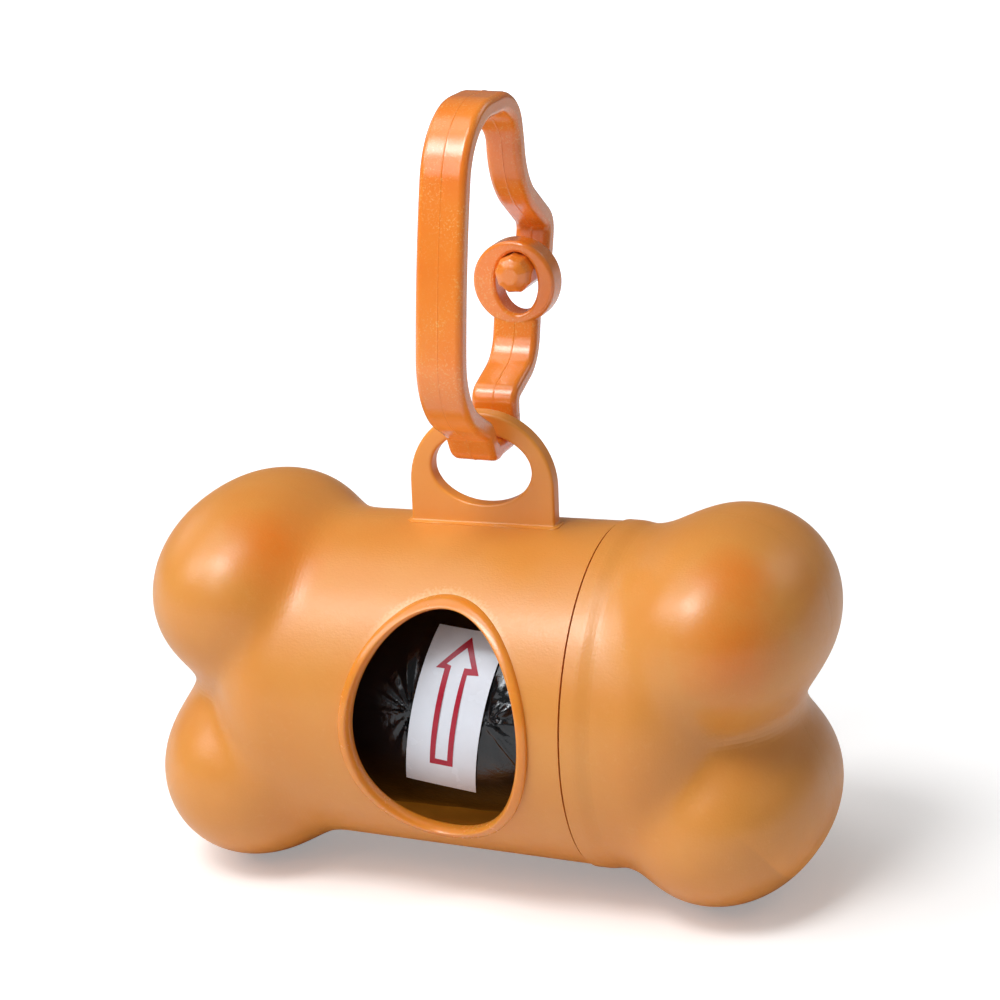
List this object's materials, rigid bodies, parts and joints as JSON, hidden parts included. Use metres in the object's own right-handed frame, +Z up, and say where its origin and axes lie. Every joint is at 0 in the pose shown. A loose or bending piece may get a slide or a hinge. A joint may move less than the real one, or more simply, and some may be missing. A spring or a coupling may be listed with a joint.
{
  "type": "dog poop bag dispenser",
  "caption": "Bone-shaped dog poop bag dispenser in orange plastic, with a screw-off end cap, a spring clip in a moulded eyelet and a roll of black bags inside",
  "frame": {"origin": "on the table plane, under the middle of the bone, on the parting plane between the front and rear shells", "axes": "+X along the bone's long axis towards the screw cap, +Z up through the eyelet and clip, -Y is the side with the dispensing opening"},
  "size_m": [0.0812, 0.041, 0.0917],
  "materials": {
    "body_plastic": "matte, fine grain",
    "disc_plastic": "matte",
    "clip_plastic": "semi-gloss",
    "core_card": "plain cardboard",
    "bag_film": "wrinkled film",
    "label_paper": "paper"
  },
  "bodies": {
    "housing": {"body_front_shell": "body_plastic", "body_rear_shell": "body_plastic", "eyelet_tab": "body_plastic", "threaded_neck": "body_plastic"},
    "stop_disc": {"roll_stop_disc": "disc_plastic"},
    "cap": {"cap_front_shell": "body_plastic", "cap_rear_shell": "body_plastic", "cap_thread_sleeve": "body_plastic"},
    "clip": {"clip_frame": "clip_plastic"},
    "gate": {"clip_gate": "clip_plastic"},
    "roll": {"roll_core": "core_card", "bag_roll": "bag_film", "paper_label": "label_paper"}
  },
  "joints": [
    {"name": "cap_advance", "type": "slide", "parent": "housing", "child": "stop_disc", "axis": [1, 0, 0], "range_m": [0, 0.0081]},
    {"name": "cap_turn", "type": "hinge", "parent": "stop_disc", "child": "cap", "pos_m": [0.0247, 0, 0.02255], "axis": [1, 0, 0], "range_deg": [0, 720]},
    {"name": "roll_spin", "type": "hinge", "parent": "housing", "child": "roll", "pos_m": [0, 0.001, 0.02105], "axis": [1, 0, 0], "continuous": true},
    {"name": "clip_swing", "type": "hinge", "parent": "housing", "child": "clip", "pos_m": [-0.00045, 0, 0.04855], "axis": [0, 1, 0], "range_deg": [-70, 70]},
    {"name": "gate_flex", "type": "hinge", "parent": "clip", "child": "gate", "pos_m": [-0.00045, 0.00648, 0.05707], "axis": [1, 0, 0], "range_deg": [0, 26], "stiffness_Nm_per_rad": 0.1}
  ],
  "couplings": [
    {"joint": "cap_advance", "follows": "cap_turn", "m_per_rad": 0.00063662}
  ]
}
